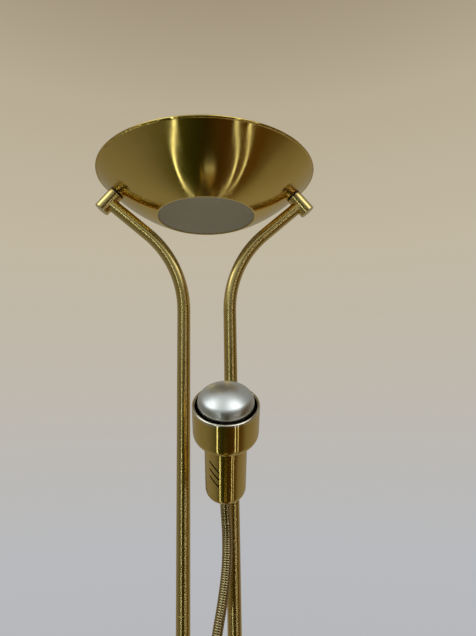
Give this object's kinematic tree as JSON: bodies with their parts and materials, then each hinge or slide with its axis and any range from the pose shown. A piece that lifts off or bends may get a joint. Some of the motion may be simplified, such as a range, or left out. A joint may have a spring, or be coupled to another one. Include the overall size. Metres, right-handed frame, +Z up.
{
  "type": "torchiere floor lamp",
  "caption": "Brass floor lamp with twin poles under an uplighter bowl, a reading head on a flexible arm, a dimmer box with rotary knobs, and a round weighted base.",
  "frame": {"origin": "on the floor at the centre of the round base", "axes": "+Z up, -Y the front where the reading head and knobs are, +X to the right seen from the front"},
  "size_m": [0.2822, 0.2856, 1.8],
  "materials": {
    "polished_brass": "polished and lacquered",
    "brushed_brass": "spun and brushed, lacquered",
    "cast_iron": "rough cast",
    "zinc_steel": "zinc plated",
    "felt": "soft",
    "black_plastic": "fine grained",
    "cream_plastic": "smooth",
    "lead_sheath": "smooth",
    "washer_rubber": "smooth",
    "ceramic": "glazed ceramic",
    "frosted_glass": "satin",
    "quartz_glass": "clear",
    "tungsten": "dull wire",
    "mirror_glass": "silvered dome",
    "aluminium": "bright",
    "circuit_board": "lacquered laminate",
    "copper_coil": "enamelled wire",
    "knob_black": "moulded"
  },
  "bodies": {
    "root": {"base_cover": "brushed_brass", "base_weight": "cast_iron", "base_plate": "zinc_steel", "base_pad": "felt", "inlet_bush": "black_plastic", "foot_inserts": "zinc_steel", "foot_collars": "polished_brass", "lower_poles": "polished_brass", "middle_poles": "polished_brass", "pole_joiners": "zinc_steel", "right_arm": "polished_brass", "left_arm": "polished_brass", "dish": "brushed_brass", "dish_glass": "frosted_glass", "dish_barrels": "polished_brass", "dish_washers": "washer_rubber", "lamp_bridge": "zinc_steel", "tube_holders": "ceramic", "halogen_tube": "quartz_glass", "halogen_filament": "tungsten", "tube_caps": "ceramic", "reflector": "aluminium", "threaded_nipples": "zinc_steel", "lock_washers": "zinc_steel", "lock_nuts": "zinc_steel", "mains_lead": "lead_sheath", "uplighter_lead": "lead_sheath", "housing_front": "black_plastic", "housing_back": "black_plastic", "screws": "zinc_steel", "dimmer_board": "circuit_board", "dimmer_pots": "aluminium", "dimmer_chokes": "copper_coil", "terminal_blocks": "cream_plastic", "flex_socket": "polished_brass", "flex_root": "polished_brass"},
    "flex_1": {"flex_link_1": "polished_brass"},
    "flex_2": {"flex_link_2": "polished_brass"},
    "flex_3": {"flex_link_3": "polished_brass"},
    "flex_4": {"flex_link_4": "polished_brass"},
    "flex_5": {"flex_link_5": "polished_brass"},
    "flex_6": {"flex_link_6": "polished_brass"},
    "flex_7": {"flex_link_7": "polished_brass"},
    "flex_8": {"flex_link_8": "polished_brass"},
    "head": {"flex_tip": "polished_brass", "head_collar": "polished_brass", "head_body": "brushed_brass", "head_bell": "brushed_brass", "head_nipple": "zinc_steel", "head_locknut": "zinc_steel", "head_lampholder": "cream_plastic", "reading_bulb": "mirror_glass", "reading_bulb_cap": "aluminium"},
    "left_dial": {"left_knob": "knob_black", "left_knob_shaft": "aluminium"},
    "right_dial": {"right_knob": "knob_black", "right_knob_shaft": "aluminium"},
    "left_contact": {"left_contact_pin": "polished_brass"},
    "right_contact": {"right_contact_pin": "polished_brass"}
  },
  "joints": [
    {"name": "nod_1", "type": "hinge", "parent": "root", "child": "flex_1", "pos_m": [0, -0.026, 1.1334], "axis": [1, 0, 0], "range_deg": [0, 16]},
    {"name": "sway_1", "type": "hinge", "parent": "flex_1", "child": "flex_2", "pos_m": [0, -0.0256, 1.1661], "axis": [0, 0.9998, -0.0184], "range_deg": [-14, 14]},
    {"name": "nod_2", "type": "hinge", "parent": "flex_2", "child": "flex_3", "pos_m": [0.0007, -0.0248, 1.1987], "axis": [0.9986, 0, -0.0537], "range_deg": [0, 16]},
    {"name": "sway_2", "type": "hinge", "parent": "flex_3", "child": "flex_4", "pos_m": [0.0035, -0.0234, 1.2312], "axis": [0, 0.9988, -0.0494], "range_deg": [-14, 14]},
    {"name": "nod_3", "type": "hinge", "parent": "flex_4", "child": "flex_5", "pos_m": [0.0087, -0.0216, 1.2634], "axis": [0.9843, 0, -0.1763], "range_deg": [0, 16]},
    {"name": "sway_3", "type": "hinge", "parent": "flex_5", "child": "flex_6", "pos_m": [0.015, -0.0198, 1.2954], "axis": [0, 0.999, -0.045], "range_deg": [-14, 14]},
    {"name": "nod_4", "type": "hinge", "parent": "flex_6", "child": "flex_7", "pos_m": [0.0196, -0.0187, 1.3278], "axis": [0.9963, 0, -0.0861], "range_deg": [0, 16]},
    {"name": "sway_4", "type": "hinge", "parent": "flex_7", "child": "flex_8", "pos_m": [0.0206, -0.02, 1.3602], "axis": [0, 0.9887, 0.15], "range_deg": [-14, 14]},
    {"name": "nod_5", "type": "hinge", "parent": "flex_8", "child": "head", "pos_m": [0.01888, -0.0286, 1.39304], "axis": [0.9991, 0, 0.0434], "range_deg": [0, 16]},
    {"name": "left_dial_turn", "type": "hinge", "parent": "root", "child": "left_dial", "pos_m": [-0.024, -0.05, 1.071], "axis": [0, -1, 0], "range_deg": [-135, 135]},
    {"name": "left_contact_slide", "type": "slide", "parent": "root", "child": "left_contact", "axis": [-1, 0, 0], "range_m": [0, 0.0035], "stiffness_N_per_m": 1500},
    {"name": "right_dial_turn", "type": "hinge", "parent": "root", "child": "right_dial", "pos_m": [0.024, -0.05, 1.071], "axis": [0, -1, 0], "range_deg": [-135, 135]},
    {"name": "right_contact_slide", "type": "slide", "parent": "root", "child": "right_contact", "axis": [1, 0, 0], "range_m": [0, 0.0035], "stiffness_N_per_m": 1500}
  ],
  "couplings": [
    {"joint": "nod_2", "follows": "nod_1", "ratio": 1},
    {"joint": "sway_2", "follows": "sway_1", "ratio": 1},
    {"joint": "nod_3", "follows": "nod_1", "ratio": 1},
    {"joint": "sway_3", "follows": "sway_1", "ratio": 1},
    {"joint": "nod_4", "follows": "nod_1", "ratio": 1},
    {"joint": "sway_4", "follows": "sway_1", "ratio": 1},
    {"joint": "nod_5", "follows": "nod_1", "ratio": 1}
  ]
}
